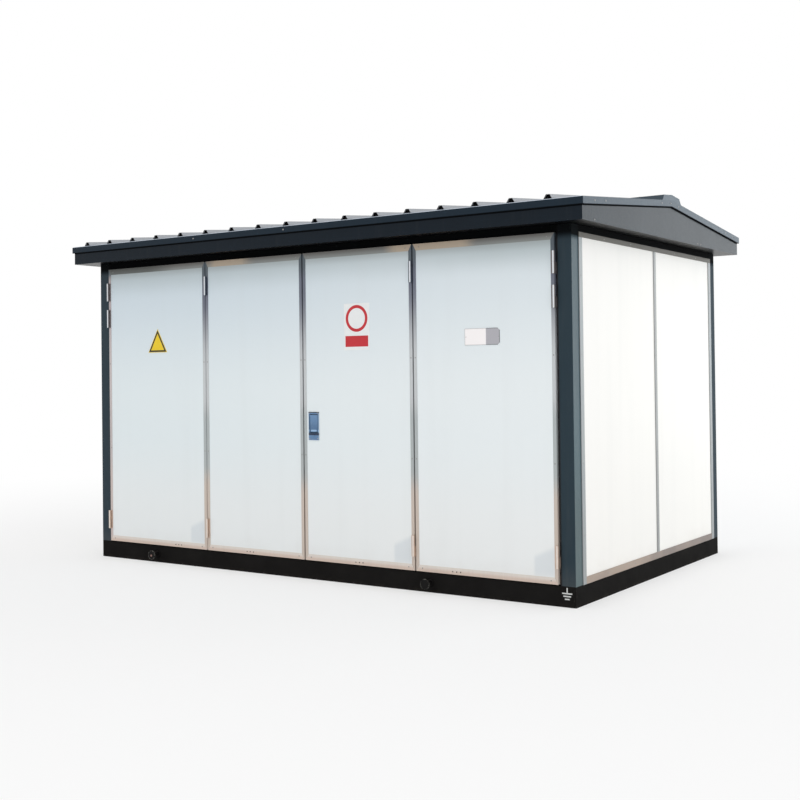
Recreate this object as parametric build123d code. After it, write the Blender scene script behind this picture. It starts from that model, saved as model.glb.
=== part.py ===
from build123d import *
import math
import os

os.makedirs("parts", exist_ok=True)

# Compact substation housing in millimetres. The origin is the bottom centre of the base, the doors
# face -Y, X runs along the front and +Z is up.

# Housing between the outer faces of its corner posts
length = 3900
width = 2375
base_height = 120
wall_top = 2151
header_top = 2280
wall_thickness = 50

# Skid base of rolled channels
channel_flange = 53
channel_web = 6
channel_flange_thickness = 9
cross_member_width = 60
cross_member_wall = 6
floor_thickness = 4

# Lifting stubs on the long channels, with the places of the two on the front
stub_radius = 20
stub_length = 70
stub_collar_radius = 32
stub_collar_thickness = 8
stub_places = (-1370, 970)

# Frame of folded steel
post_face = 95
post_depth = 88
frame_sheet = 4
door_post_width = 80
door_post_depth = 60
front_header_depth = 100
end_header_depth = 60
ceiling_thickness = 40
truss_thickness = 40
truss_count = 5

# Four door leaves a side, the two inner ones narrower
inner_pitch = 871
leaf_thickness = 50
leaf_proud = 15
seam_gap = 10
post_gap = 8
leaf_foot_gap = 7
leaf_head_gap = 6
leaf_back_gap = 5
trim_sheet = 2
trim_side_face = 22
trim_end_face = 40

# Barrel hinges, with their middles' distances below the leaf's head and above its foot
barrel_radius = 8
barrel_length = 130
barrel_split = 0.5
barrel_stand_off = 1
hinge_plate_width = 10
hinge_plate_thickness = 3
hinge_web_post = 3
hinge_web_seam = 2.5
hinge_web_seat = 30
post_hinge_drops = (170, 367)
post_hinge_rise = 158
seam_hinge_drop = 170
seam_hinge_rise = 153

# Flush paddle lock in the third leaf, placed from the leaf's foot and meeting edge
lock_width = 84
lock_height = 184
lock_inset = 38
lock_rise = 881
lock_depth = 24
lock_proud = 2
lock_rim = 6
lock_top_rim = 14
lock_key_height = 46
pocket_depth = 18
paddle_gap = 5
paddle_thickness = 7
paddle_pin_radius = 3
paddle_pin_drop = 6
paddle_pin_play = 0.3

# Sign plates on leaves 1, 3 and 4, placed from each leaf's left edge and foot
plate_thickness = 2
triangle_side = 186
triangle_height = 168
triangle_inset = 505
triangle_rise = 1391
prohibition_width = 200
prohibition_height = 300
prohibition_inset = 436
prohibition_rise = 1521
nameplate_width = 240
nameplate_height = 100
nameplate_inset = 488
nameplate_rise = 1433
nameplate_chamfer = 14

# End walls of two sandwich panels, with aluminium strips over their edges
panel_joint_offset = 40
panel_joint_gap = 2
end_trim_thickness = 5
end_trim_side_face = 43
end_trim_foot_face = 41
end_trim_head_face = 29
end_joint_face = 35

# Low gabled roof of ribbed sandwich sheet
eave_overhang = 133
eave_drop = 6
fascia_height = 84
roof_rise = 126.5
roof_thickness = 43
soffit_thickness = 4
fascia_thickness = 10
band_proud = 12
rib_pitch = 238.5
rib_offset = -37
rib_verge_gap = 40
rib_foot = 62
rib_crest = 22
rib_height = 31
rib_sheet = 2
rib_mouth_depth = 90
cap_top_half = 130
cap_foot_half = 160
cap_height = 34

# Planes that several pieces share
half_length = length / 2
half_width = width / 2
front = -half_width
leaf_front = front - leaf_proud
leaf_back = leaf_front + leaf_thickness
door_post_front = leaf_back + leaf_back_gap
leaf_foot = base_height + leaf_foot_gap
leaf_head = wall_top - leaf_head_gap
opening_half = half_length - post_face
eave_level = header_top - eave_drop
soffit_level = eave_level - fascia_height
eave_half = half_width + eave_overhang
gable_half = half_length + eave_overhang
roof_slope = roof_rise / eave_half
barrel_axis_y = leaf_front - barrel_stand_off - barrel_radius


def block(x0, x1, y0, y1, z0, z1):
    """A box between two corners."""
    middle = Pos((x0 + x1) / 2, (y0 + y1) / 2, (z0 + z1) / 2)
    return middle * Box(abs(x1 - x0), abs(y1 - y0), abs(z1 - z0))


def prism_along_x(points, x0, x1):
    """A solid whose section in Y and Z is drawn by points, from x0 to x1."""
    section = Plane.YZ.offset(x0) * make_face(Polyline(*points, close=True))
    return extrude(section, amount=x1 - x0)


def turned(shape):
    """The same piece on the rear, half a turn round the middle."""
    return Rot(0, 0, 180) * shape


def mirrored_end(shape):
    """The same piece on the left end."""
    return mirror(shape, about=Plane.YZ)


def keep(name, *solids):
    """Writes one node."""
    shape = solids[0] if len(solids) == 1 else Compound(children=list(solids))
    export_step(shape, f"parts/{name}.step")


def underside(y):
    """Height of the roof sheet's lower face at y."""
    return eave_level + roof_slope * (eave_half - abs(y))


# Skid base

def channel_along_x(x0, x1, web_face):
    """A channel whose web stands at web_face and whose flanges point to +Y."""
    outside = block(x0, x1, web_face, web_face + channel_flange, 0, base_height)
    inside = block(
        x0, x1, web_face + channel_web, web_face + channel_flange,
        channel_flange_thickness, base_height - channel_flange_thickness)
    return outside - inside


def end_channel():
    """The channel under the right end wall. Its web closes the ends of the long channels."""
    reach = half_width - channel_flange
    outside = block(half_length - channel_flange, half_length, -reach, reach, 0, base_height)
    inner_x = half_length - channel_web
    inside = block(
        half_length - channel_flange, inner_x, -reach, reach,
        channel_flange_thickness, base_height - channel_flange_thickness)
    return outside - inside + block(inner_x, half_length, -half_width, half_width, 0, base_height)


def cross_member(x):
    """A tube between the long channels."""
    reach = half_width - channel_flange
    half = cross_member_width / 2
    outside = block(x - half, x + half, -reach, reach, 0, base_height)
    bore = block(
        x - half + cross_member_wall, x + half - cross_member_wall, -reach, reach,
        cross_member_wall, base_height - cross_member_wall)
    return outside - bore


def lifting_stub(x):
    """A round bar with a collar, welded to the front channel's web."""
    bar = Cylinder(stub_radius, stub_length)
    collar_middle = (stub_length - stub_collar_thickness) / 2
    collar = Pos(0, 0, collar_middle) * Cylinder(stub_collar_radius, stub_collar_thickness)
    return Pos(x, front - stub_length / 2, base_height / 2) * Rot(90, 0, 0) * (bar + collar)


long_reach = half_length - channel_web
front_channel = channel_along_x(-long_reach, long_reach, front)
keep("long_base_channels", front_channel, turned(front_channel))
keep("end_base_channels", end_channel(), mirrored_end(end_channel()))
keep("base_cross_members", *[cross_member(x) for x in (-inner_pitch, 0, inner_pitch)])
front_stubs = [lifting_stub(x) for x in stub_places]
rear_stubs = [mirror(stub, about=Plane.XZ) for stub in front_stubs]
keep("lifting_stubs", *front_stubs, *rear_stubs)

floor_half_length = half_length - wall_thickness
floor_front = door_post_front
floor_sheet = block(
    -floor_half_length, floor_half_length, floor_front, -floor_front,
    base_height, base_height + floor_thickness)
post_notch_x = half_length - post_face
post_notch_y = half_width - post_depth
for side_x in (-1, 1):
    for side_y in (-1, 1):
        floor_sheet -= block(
            side_x * post_notch_x, side_x * half_length, side_y * post_notch_y, side_y * half_width,
            base_height, base_height + floor_thickness)
keep("floor_plate", floor_sheet)


# Posts, headers, ceiling and roof trusses

def tube_post(x0, x1, y0, y1, z0, z1):
    """An upright tube of frame sheet."""
    outside = block(x0, x1, y0, y1, z0, z1)
    bore = block(x0 + frame_sheet, x1 - frame_sheet, y0 + frame_sheet, y1 - frame_sheet, z0, z1)
    return outside - bore


def corner_post(side_x, side_y):
    """One corner post, placed by the signs of its corner."""
    x = sorted((side_x * (half_length - post_face), side_x * half_length))
    y = sorted((side_y * (half_width - post_depth), side_y * half_width))
    return tube_post(x[0], x[1], y[0], y[1], base_height, header_top)


def door_post(x):
    """A post behind a seam between two front leaves."""
    half = door_post_width / 2
    foot = base_height + floor_thickness
    return tube_post(x - half, x + half, door_post_front, door_post_front + door_post_depth, foot, wall_top)


keep("corner_posts", *[corner_post(sx, sy) for sx in (-1, 1) for sy in (-1, 1)])
front_door_posts = [door_post(x) for x in (-inner_pitch, inner_pitch)]
rear_door_posts = [turned(post) for post in front_door_posts]
keep("door_posts", *front_door_posts, *rear_door_posts)

front_header = block(-opening_half, opening_half, front, front + front_header_depth, wall_top, header_top)
front_header -= block(
    -opening_half, opening_half, front + frame_sheet, front + front_header_depth - frame_sheet,
    wall_top + frame_sheet, header_top - frame_sheet)
keep("door_headers", front_header, turned(front_header))

end_reach = half_width - post_depth
end_header = block(half_length - end_header_depth, half_length, -end_reach, end_reach, wall_top, header_top)
end_header -= block(
    half_length - end_header_depth + frame_sheet, half_length - frame_sheet, -end_reach, end_reach,
    wall_top + frame_sheet, header_top - frame_sheet)
keep("end_headers", end_header, mirrored_end(end_header))

ceiling_x = half_length - end_header_depth
ceiling_y = half_width - front_header_depth
ceiling_foot = header_top - ceiling_thickness
keep("ceiling_panel", block(-ceiling_x, ceiling_x, -ceiling_y, ceiling_y, ceiling_foot, header_top))


def roof_truss(x):
    """A tapered rib of the roof frame, from the headers up to the sheet."""
    points = (
        (-half_width, header_top), (half_width, header_top), (half_width, underside(half_width)),
        (0, underside(0)), (-half_width, underside(half_width)))
    return prism_along_x(points, x - truss_thickness / 2, x + truss_thickness / 2)


truss_reach = half_length - end_header_depth / 2
truss_pitch = 2 * truss_reach / (truss_count - 1)
keep("roof_trusses", *[roof_truss(-truss_reach + i * truss_pitch) for i in range(truss_count)])


# End walls

half_gap = panel_joint_gap / 2
right_panels = []
for y0, y1 in ((-end_reach, panel_joint_offset - half_gap), (panel_joint_offset + half_gap, end_reach)):
    right_panels.append(block(half_length - wall_thickness, half_length, y0, y1, base_height, wall_top))
keep("right_wall_panels", *right_panels)
keep("left_wall_panels", *[mirrored_end(panel) for panel in right_panels])

trim_outer = half_length + end_trim_thickness
right_trim = block(half_length, trim_outer, -end_reach, end_reach, base_height, wall_top)
window_foot = base_height + end_trim_foot_face
window_head = wall_top - end_trim_head_face
window_reach = end_reach - end_trim_side_face
joint_y0 = panel_joint_offset - end_joint_face / 2
joint_y1 = panel_joint_offset + end_joint_face / 2
for y0, y1 in ((-window_reach, joint_y0), (joint_y1, window_reach)):
    right_trim -= block(half_length, trim_outer, y0, y1, window_foot, window_head)
keep("end_wall_trims", right_trim, mirrored_end(right_trim))


# Door leaves

leaf_spans = (
    (-opening_half + post_gap, -inner_pitch - seam_gap / 2),
    (-inner_pitch + seam_gap / 2, -seam_gap / 2),
    (seam_gap / 2, inner_pitch - seam_gap / 2),
    (inner_pitch + seam_gap / 2, opening_half - post_gap))


def leaf_panel(x0, x1):
    """The sandwich panel inside a leaf's edge trim."""
    inset = trim_sheet
    return block(
        x0 + inset, x1 - inset, leaf_front + inset, leaf_back - inset, leaf_foot + inset, leaf_head - inset)


def leaf_trim(x0, x1):
    """The aluminium edging folded round a panel, open over the panel's two faces."""
    shell = block(x0, x1, leaf_front, leaf_back, leaf_foot, leaf_head) - leaf_panel(x0, x1)
    return shell - block(
        x0 + trim_side_face, x1 - trim_side_face, leaf_front, leaf_back,
        leaf_foot + trim_end_face, leaf_head - trim_end_face)


def barrel(x, z0, z1):
    """Half a hinge barrel on the upright axis at x."""
    return Pos(x, barrel_axis_y, (z0 + z1) / 2) * Cylinder(barrel_radius, z1 - z0)


def leaf_hinge(line, side, middle):
    """The leaf's half: the upper barrel and a plate on the leaf's face, to the side away from the line."""
    axis = line + side * barrel_radius
    plate_near = axis + side * (barrel_radius + barrel_stand_off)
    plate_far = plate_near + side * hinge_plate_width
    plate_front = leaf_front - hinge_plate_thickness
    low = middle - barrel_length / 2
    high = middle + barrel_length / 2
    split = middle + barrel_split / 2
    plate = block(plate_near, plate_far, plate_front, leaf_front, low, high)
    tongue = block(axis, plate_near, plate_front, leaf_front, split, high)
    return plate + tongue + barrel(axis, split, high)


def frame_hinge(line, side, middle, web_reach, web_x0, web_x1):
    """The frame's half: the lower barrel and a web that runs back to the post."""
    axis = line + side * barrel_radius
    low = middle - barrel_length / 2
    split = middle - barrel_split / 2
    web = block(web_x0, web_x1, barrel_axis_y, web_reach, low, split)
    bridge_back = barrel_axis_y + hinge_plate_thickness
    bridge = block(min(web_x0, axis), max(web_x1, axis), barrel_axis_y, bridge_back, low, split)
    return web + bridge + barrel(axis, low, split)


post_hinge_heights = [leaf_head - drop for drop in post_hinge_drops] + [leaf_foot + post_hinge_rise]
seam_hinge_heights = [leaf_head - seam_hinge_drop, leaf_foot + seam_hinge_rise]

# Each leaf's hinge line, the side its leaf lies on, and its hinge heights
hinge_lines = (
    (-opening_half, 1, post_hinge_heights),
    (-inner_pitch, 1, seam_hinge_heights),
    (inner_pitch, -1, seam_hinge_heights),
    (opening_half, -1, post_hinge_heights))


def frame_hinges(line, side, heights):
    """All the frame halves of one leaf."""
    if abs(line) == opening_half:
        web = sorted((line, line + side * hinge_web_post))
        seat = front + hinge_web_seat
    else:
        web = (line - hinge_web_seam / 2, line + hinge_web_seam / 2)
        seat = door_post_front
    return [frame_hinge(line, side, middle, seat, web[0], web[1]) for middle in heights]


panels = [leaf_panel(*span) for span in leaf_spans]
trims = [leaf_trim(*span) for span in leaf_spans]
leaf_hinges = []
frame_halves = []
for line, side, heights in hinge_lines:
    leaf_hinges.append([leaf_hinge(line, side, middle) for middle in heights])
    frame_halves.extend(frame_hinges(line, side, heights))

keep("rear_leaf_panels", *[turned(panel) for panel in panels])
keep("rear_leaf_trims", *[turned(trim) for trim in trims])
rear_hinges = [turned(half) for group in leaf_hinges for half in group]
keep("rear_leaf_hinges", *rear_hinges)
keep("rear_frame_hinges", *[turned(half) for half in frame_halves])
keep("front_frame_hinges", *frame_halves)

# The lock stands beside the third leaf's meeting edge
lock_x0 = leaf_spans[2][0] + lock_inset
lock_x1 = lock_x0 + lock_width
lock_z0 = leaf_foot + lock_rise - lock_height / 2
lock_z1 = lock_z0 + lock_height
lock_back = leaf_front + lock_depth
pocket_x0 = lock_x0 + lock_rim
pocket_x1 = lock_x1 - lock_rim
pocket_z0 = lock_z0 + lock_key_height
pocket_z1 = lock_z1 - lock_top_rim
lock_face = leaf_front - lock_proud
lock_housing = block(lock_x0, lock_x1, lock_face, lock_back, lock_z0, lock_z1)
lock_housing -= block(pocket_x0, pocket_x1, lock_face, leaf_front + pocket_depth, pocket_z0, pocket_z1)
keep("lock_housing", lock_housing)

paddle_x0 = pocket_x0 + paddle_gap
paddle_x1 = pocket_x1 - paddle_gap
paddle_z1 = pocket_z1 - paddle_gap
paddle_back = leaf_front + paddle_thickness
paddle = block(paddle_x0, paddle_x1, leaf_front, paddle_back, pocket_z0 + paddle_gap, paddle_z1)
pin_length = pocket_x1 - pocket_x0 - 2 * paddle_pin_play
pin_y = leaf_front + paddle_thickness / 2
pin_z = paddle_z1 - paddle_pin_drop
pin = Pos((pocket_x0 + pocket_x1) / 2, pin_y, pin_z) * Rot(0, 90, 0) * Cylinder(paddle_pin_radius, pin_length)
keep("lock_paddle", paddle + pin)

panels[2] -= block(lock_x0, lock_x1, leaf_front, lock_back, lock_z0, lock_z1)
for number, (panel, trim, hinges) in enumerate(zip(panels, trims, leaf_hinges), start=1):
    keep(f"door_{number}_panel", panel)
    keep(f"door_{number}_trim", trim)
    keep(f"door_{number}_hinges", *hinges)


# Sign plates, fixed to the panels' outer faces

panel_face = leaf_front + trim_sheet


def flat_plate(points):
    """A plate on the panels' face, its outline given in X and Z."""
    outline = make_face(Polyline(*[(x, 0, z) for x, z in points], close=True))
    return Pos(0, panel_face, 0) * extrude(outline, amount=plate_thickness, dir=(0, -1, 0))


triangle_x = leaf_spans[0][0] + triangle_inset
triangle_foot = leaf_foot + triangle_rise
triangle_points = (
    (triangle_x - triangle_side / 2, triangle_foot),
    (triangle_x + triangle_side / 2, triangle_foot),
    (triangle_x, triangle_foot + triangle_height))
keep("triangle_plate", flat_plate(triangle_points))

prohibition_x = leaf_spans[2][0] + prohibition_inset
prohibition_middle = leaf_foot + prohibition_rise
prohibition_points = (
    (prohibition_x - prohibition_width / 2, prohibition_middle - prohibition_height / 2),
    (prohibition_x + prohibition_width / 2, prohibition_middle - prohibition_height / 2),
    (prohibition_x + prohibition_width / 2, prohibition_middle + prohibition_height / 2),
    (prohibition_x - prohibition_width / 2, prohibition_middle + prohibition_height / 2))
keep("prohibition_plate", flat_plate(prohibition_points))

nameplate_x = leaf_spans[3][0] + nameplate_inset
nameplate_middle = leaf_foot + nameplate_rise
name_x0 = nameplate_x - nameplate_width / 2
name_x1 = nameplate_x + nameplate_width / 2
name_z0 = nameplate_middle - nameplate_height / 2
name_z1 = nameplate_middle + nameplate_height / 2
nameplate_points = (
    (name_x0, name_z0),
    (name_x1 - nameplate_chamfer, name_z0),
    (name_x1, name_z0 + nameplate_chamfer),
    (name_x1, name_z1 - nameplate_chamfer),
    (name_x1 - nameplate_chamfer, name_z1),
    (name_x0, name_z1))
keep("nameplate", flat_plate(nameplate_points))


# Roof

ridge_level = underside(0)
cap_foot_level = underside(cap_foot_half) + roof_thickness


def rib(x, half_foot, half_crest, height, y0, y1):
    """A trapezoid rib on the front slope, from y0 up to y1, parallel to the sheet."""
    sheet_top = underside(y0) + roof_thickness
    section = make_face(Polyline(
        (x - half_foot, y0, sheet_top),
        (x + half_foot, y0, sheet_top),
        (x + half_crest, y0, sheet_top + height),
        (x - half_crest, y0, sheet_top + height),
        close=True))
    return extrude(section, amount=(y1 - y0) * math.hypot(1, roof_slope), dir=(0, 1, roof_slope))


def roof_sheet():
    """The front slope: a sandwich sheet with its ribs, whose ends are open at the eave."""
    points = (
        (-eave_half, eave_level), (0, ridge_level),
        (0, ridge_level + roof_thickness), (-eave_half, eave_level + roof_thickness))
    sheet = prism_along_x(points, -gable_half, gable_half)
    ribs = []
    ribs_each_side = math.floor((gable_half - abs(rib_offset) - rib_foot / 2 - rib_verge_gap) / rib_pitch)
    for i in range(-ribs_each_side, ribs_each_side + 1):
        x = rib_offset + i * rib_pitch
        whole = rib(x, rib_foot / 2, rib_crest / 2, rib_height, -eave_half, -cap_foot_half)
        mouth = rib(
            x, rib_foot / 2 - 2 * rib_sheet, rib_crest / 2 - rib_sheet / 2, rib_height - rib_sheet,
            -eave_half, -eave_half + rib_mouth_depth)
        ribs.append(whole - mouth)
    return sheet.fuse(*ribs)


front_sheet = roof_sheet()
keep("roof_sheet_front", front_sheet)
keep("roof_sheet_rear", mirror(front_sheet, about=Plane.XZ))

cap_side_drop = roof_slope * (cap_foot_half - cap_top_half)
cap_points = (
    (-cap_foot_half, cap_foot_level),
    (0, ridge_level + roof_thickness),
    (cap_foot_half, cap_foot_level),
    (cap_top_half, cap_foot_level + cap_side_drop + cap_height),
    (0, ridge_level + roof_thickness + cap_height),
    (-cap_top_half, cap_foot_level + cap_side_drop + cap_height))
band_outer_x = gable_half + band_proud
keep("ridge_cap", prism_along_x(cap_points, -band_outer_x, band_outer_x))

eave_band = block(
    -band_outer_x, band_outer_x, -eave_half - band_proud, -eave_half, eave_level, eave_level + roof_thickness)
keep("eave_bands", eave_band, turned(eave_band))

verge_points = (
    (-eave_half, eave_level), (0, ridge_level), (eave_half, eave_level),
    (eave_half, eave_level + roof_thickness), (0, ridge_level + roof_thickness),
    (-eave_half, eave_level + roof_thickness))
verge_band = prism_along_x(verge_points, gable_half, band_outer_x)
keep("verge_bands", verge_band, mirrored_end(verge_band))

gable_points = (
    (-eave_half, soffit_level), (eave_half, soffit_level), (eave_half, eave_level),
    (0, ridge_level), (-eave_half, eave_level))
gable_fascia = prism_along_x(gable_points, gable_half - fascia_thickness, gable_half)
keep("gable_fascias", gable_fascia, mirrored_end(gable_fascia))

fascia_reach = gable_half - fascia_thickness
fascia_inner_y = -eave_half + fascia_thickness
eave_fascia_points = (
    (-eave_half, soffit_level), (fascia_inner_y, soffit_level),
    (fascia_inner_y, underside(fascia_inner_y)), (-eave_half, eave_level))
eave_fascia = prism_along_x(eave_fascia_points, -fascia_reach, fascia_reach)
keep("eave_fascias", eave_fascia, turned(eave_fascia))

soffit_top = soffit_level + soffit_thickness
eave_soffit = block(-fascia_reach, fascia_reach, fascia_inner_y, front, soffit_level, soffit_top)
keep("eave_soffits", eave_soffit, turned(eave_soffit))
gable_soffit = block(half_length, fascia_reach, front, half_width, soffit_level, soffit_top)
keep("gable_soffits", gable_soffit, mirrored_end(gable_soffit))
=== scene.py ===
"""Looks of a walk-up compact substation housing, dressed in the order in which the real one is built."""
import math

import bmesh
import bpy
import numpy as np
from mathutils import Matrix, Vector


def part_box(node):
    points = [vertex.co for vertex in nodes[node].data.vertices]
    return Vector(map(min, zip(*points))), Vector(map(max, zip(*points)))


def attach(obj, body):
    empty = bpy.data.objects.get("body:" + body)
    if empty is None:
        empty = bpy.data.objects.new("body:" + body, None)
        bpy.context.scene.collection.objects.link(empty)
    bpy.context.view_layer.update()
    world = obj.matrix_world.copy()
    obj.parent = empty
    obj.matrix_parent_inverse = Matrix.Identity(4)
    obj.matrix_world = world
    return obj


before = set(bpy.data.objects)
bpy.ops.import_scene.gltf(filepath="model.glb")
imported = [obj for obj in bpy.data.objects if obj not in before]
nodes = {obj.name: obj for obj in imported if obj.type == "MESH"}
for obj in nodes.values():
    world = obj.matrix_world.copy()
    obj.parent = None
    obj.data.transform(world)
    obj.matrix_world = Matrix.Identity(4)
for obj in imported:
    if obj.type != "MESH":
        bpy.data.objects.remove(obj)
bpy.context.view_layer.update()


# Skid base
# A ring of rolled steel channels under the walls, painted in black enamel. The end channels' webs
# close the corners, where a weld runs down each joint, and an earth mark is painted by the right one.

class Value:
    """A number or colour that varies over a surface. Arithmetic on values adds their Math nodes."""

    def __init__(self, finish, socket):
        self.finish = finish
        self.socket = socket

    def maths(self, operation, first, second=0.0):
        return self.finish.node("ShaderNodeMath", {"operation": operation}, {0: first, 1: second})

    def __add__(self, other):
        return self.maths("ADD", self, other)

    __radd__ = __add__

    def __sub__(self, other):
        return self.maths("SUBTRACT", self, other)

    def __rsub__(self, other):
        return self.maths("SUBTRACT", other, self)

    def __mul__(self, other):
        return self.maths("MULTIPLY", self, other)

    __rmul__ = __mul__

    def __truediv__(self, other):
        return self.maths("DIVIDE", self, other)

    def __abs__(self):
        return self.maths("ABSOLUTE", self)

    def least(self, other):
        return self.maths("MINIMUM", self, other)

    def most(self, other):
        return self.maths("MAXIMUM", self, other)

    def across(self, other):
        """The diagonal over two distances: the root of their squares' sum."""
        return self.maths("SQRT", self * self + other * other)


class Finish:
    """One material. Its patterns read the object's own coordinates, in metres."""

    def __init__(self, name, holder=None):
        self.material = holder or bpy.data.materials.new(name)
        self.material.use_nodes = True
        self.tree = self.material.node_tree
        self.tree.nodes.clear()
        self.spot = self.node("ShaderNodeTexCoord", {}, {}, "Object")
        apart = self.node("ShaderNodeSeparateXYZ", {}, {0: self.spot}).socket.node
        self.x, self.y, self.z = [Value(self, socket) for socket in apart.outputs]

    def node(self, kind, settings, inputs, output=0):
        """Adds a node. Its settings come first, then the values or links of its sockets."""
        made = self.tree.nodes.new(kind)
        for name, setting in settings.items():
            setattr(made, name, setting)
        for name, value in inputs.items():
            if isinstance(value, Value):
                self.tree.links.new(value.socket, made.inputs[name])
            else:
                made.inputs[name].default_value = value
        return Value(self, made.outputs[output]) if made.outputs else None

    def noise(self, scale, detail=2.0, stretch=(1.0, 1.0, 1.0)):
        """Cloudy noise about a half, drawn out along an axis where its stretch is under one."""
        mapped = self.node("ShaderNodeMapping", {}, {"Vector": self.spot, "Scale": stretch})
        return self.node("ShaderNodeTexNoise", {}, {"Vector": mapped, "Scale": scale, "Detail": detail})

    def step(self, value, start, end):
        """0 up to start and 1 past end, with a smooth rise between. End may be the lower number."""
        inputs = {"Value": value, "From Min": start, "From Max": end}
        return self.node("ShaderNodeMapRange", {"interpolation_type": "SMOOTHSTEP"}, inputs)

    def patch(self, value, start, end, edge):
        """1 between start and end, and 0 outside, with edges this soft."""
        return self.step(value, start - edge, start + edge) * self.step(value, end + edge, end - edge)

    def mix(self, mask, first, second):
        """The first colour where the mask is 0 and the second where it is 1. Each is a colour value, or
        red, green and blue as they show on a screen."""
        ends = [colour if isinstance(colour, Value) else screen(*colour) for colour in (first, second)]
        return self.node("ShaderNodeMix", {"data_type": "RGBA"}, {0: mask, 6: ends[0], 7: ends[1]}, 2)

    def surface(self, colour, roughness, relief, depth, **sockets):
        """Closes the material: a Principled shader, with relief as a bump of this depth in metres."""
        bump = self.node("ShaderNodeBump", {}, {"Height": relief, "Distance": depth})
        inputs = {"Base Color": colour, "Roughness": roughness, "Normal": bump}
        inputs.update({name.replace("_", " "): value for name, value in sockets.items()})
        shader = self.node("ShaderNodeBsdfPrincipled", {}, inputs)
        self.node("ShaderNodeOutputMaterial", {"is_active_output": True}, {"Surface": shader})
        return self.material


def screen(red, green, blue):
    """A colour given as it shows on a screen, 0 to 255, in the linear values that a shader takes."""
    shown = np.array((red, green, blue)) / 255
    dark = shown / 12.92
    light = ((shown + 0.055) / 1.055) ** 2.4
    return (*np.where(shown < 0.04, dark, light).tolist(), 1.0)


def dress(material, *names):
    """Gives CAD nodes their finish."""
    for name in names:
        for place in nodes[name].material_slots:
            place.material = material


def grid(rows, columns, loop=False):
    """The quads of a sheet of points that closes on itself across, and also along where it is a loop."""
    row = np.arange(rows if loop else rows - 1)[:, None] * columns
    after = (row + columns) % (rows * columns)
    column = np.arange(columns)
    beside = (column + 1) % columns
    return np.stack((row + column, row + beside, after + beside, after + column), -1).reshape(-1, 4)


def carried(path, across, upward, section, loop=False):
    """A section carried along a path. Each point is the path's point, plus the section's first number
    along across, plus its second along upward. The ends are closed unless the path is a loop."""
    path = np.asarray(path, float)
    section = np.asarray(section, float)
    section = np.broadcast_to(section, (len(path), *section.shape[-2:]))
    across = np.broadcast_to(np.asarray(across, float), path.shape)[:, None]
    upward = np.broadcast_to(np.asarray(upward, float), path.shape)[:, None]
    points = path[:, None] + section[..., :1] * across + section[..., 1:] * upward
    rows, columns = points.shape[:2]
    last = (rows - 1) * columns
    ends = [] if loop else [np.array((np.arange(columns), last + np.arange(columns)))]
    return points.reshape(-1, 3), [grid(rows, columns, loop), *ends]


def oval(wide, high, points=10):
    """The outline of an ellipse this wide and high: its half sizes times a circle's cosine and sine."""
    turn = np.linspace(0, 2 * np.pi, points, endpoint=False)
    return np.stack((wide / 2 * np.cos(turn), high / 2 * np.sin(turn)), 1)


def add_piece(name, shapes, material, body, rounding=0.0):
    """One object made of several shapes. Poles are closed, faces turned outward and edges kept crisp."""
    starts = np.cumsum([0, *[len(points) for points, _ in shapes]])
    points = np.concatenate([points for points, _ in shapes])
    faces = [face for (_, groups), start in zip(shapes, starts) for group in groups
             for face in (group + start).tolist()]
    mesh = bpy.data.meshes.new(name)
    mesh.from_pydata(points.tolist(), [], faces)
    work = bmesh.new()
    work.from_mesh(mesh)
    bmesh.ops.remove_doubles(work, verts=work.verts, dist=1e-6)
    bmesh.ops.recalc_face_normals(work, faces=work.faces)
    work.to_mesh(mesh)
    work.free()
    mesh.shade_smooth()
    mesh.set_sharp_from_angle(angle=math.radians(35))
    mesh.materials.append(material)
    piece = bpy.data.objects.new(name, mesh)
    bpy.context.scene.collection.objects.link(piece)
    if rounding:
        softened = piece.modifiers.new("rounding", "BEVEL")
        softened.width = rounding
        softened.segments = 2
    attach(piece, body)


def half_turned(shapes):
    """The same shapes on the rear, turned half round the housing's middle."""
    return [(points * (-1, -1, 1), groups) for points, groups in shapes]


base_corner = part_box("end_base_channels")[1]


def black_enamel():
    """Semi-matt black with road dust along its foot, chips on the corners and an orange-peel skin."""
    paint = Finish("black_enamel")
    cloud = paint.noise(7, 4)
    dust = paint.step(paint.z + cloud * 0.04, 0.055, 0.012) * paint.step(paint.noise(30, 4), 0.4, 0.75)
    corner = paint.step(abs(paint.x), base_corner.x - 0.020, base_corner.x - 0.005)
    corner = corner * paint.step(abs(paint.y), base_corner.y - 0.0195, base_corner.y - 0.0045)
    chips = corner * paint.step(paint.noise(170, 3, (1, 1, 0.5)), 0.63, 0.70)
    colour = paint.mix(cloud, (24, 23, 23), (36, 35, 34))
    colour = paint.mix(dust * 0.22, colour, (84, 78, 70))
    colour = paint.mix(chips * 0.5, colour, (120, 118, 114))
    peel = paint.noise(240, 2) * 0.35 + paint.noise(18, 3)
    roughness = 0.62 + dust * 0.2 - cloud * 0.1
    return paint.surface(colour, roughness, peel, 0.0012, Specular_IOR_Level=0.005)


base_finish = black_enamel()
dress(base_finish, "long_base_channels", "end_base_channels", "base_cross_members")

base_low, base_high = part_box("long_base_channels")
base_front = base_low.y
corner_joint = base_high.x
weld_width = 0.006
weld_rise = 0.0022
weld_margin = 0.004
weld_ripples = 26
along = np.linspace(0, 1, weld_ripples * 4)
swell = np.sqrt(np.clip(1 - (2 * along - 1) ** 8, 0, 1))
swell = swell * (0.8 + 0.2 * np.cos(2 * np.pi * weld_ripples * along))
weld_section = oval(weld_width, 2 * weld_rise) * (0.02 + 0.98 * swell)[:, None, None]


def corner_weld(x):
    """A weld up the base's front: an oval carried straight up, swelling with each ripple of the weld."""
    path = np.array((x, base_front, weld_margin)) + along[:, None] * (0, 0, base_high.z - 2 * weld_margin)
    return carried(path, (1, 0, 0), (0, -1, 0), weld_section)


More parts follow.
